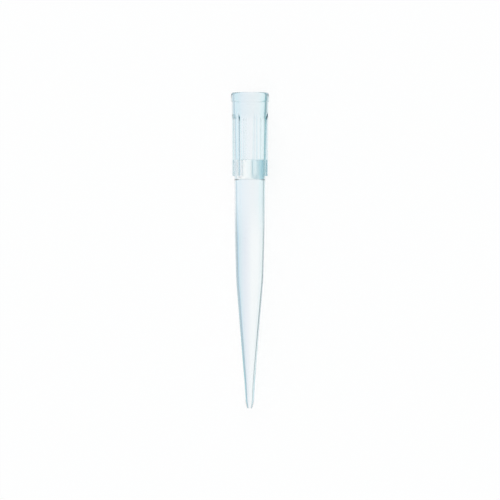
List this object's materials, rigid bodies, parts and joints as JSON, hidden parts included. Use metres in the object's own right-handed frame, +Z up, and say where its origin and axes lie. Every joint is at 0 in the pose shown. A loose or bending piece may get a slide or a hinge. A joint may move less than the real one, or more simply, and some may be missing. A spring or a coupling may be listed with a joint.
{
  "type": "filter pipette tip",
  "caption": "Clear tapered filter tip for an air-displacement pipette, with a ribbed collar and a white porous plug, lying on its side.",
  "frame": {"origin": "middle of the tip's bounding box, on the surface it lies on", "axes": "+Z up, +Y towards the mouth; the tip's axis lies in the YZ plane and rises 1.75 degrees towards the mouth"},
  "size_m": [0.0094, 0.0782, 0.0094],
  "materials": {
    "clear_polypropylene": "clear injection-moulded polypropylene with a faint aqua cast, polished outside and in",
    "porous_polyethylene": "white sintered polyethylene beads, matt and fine-grained"
  },
  "bodies": {
    "root": {"tip_body": "clear_polypropylene", "filter": "porous_polyethylene"}
  },
  "joints": []
}
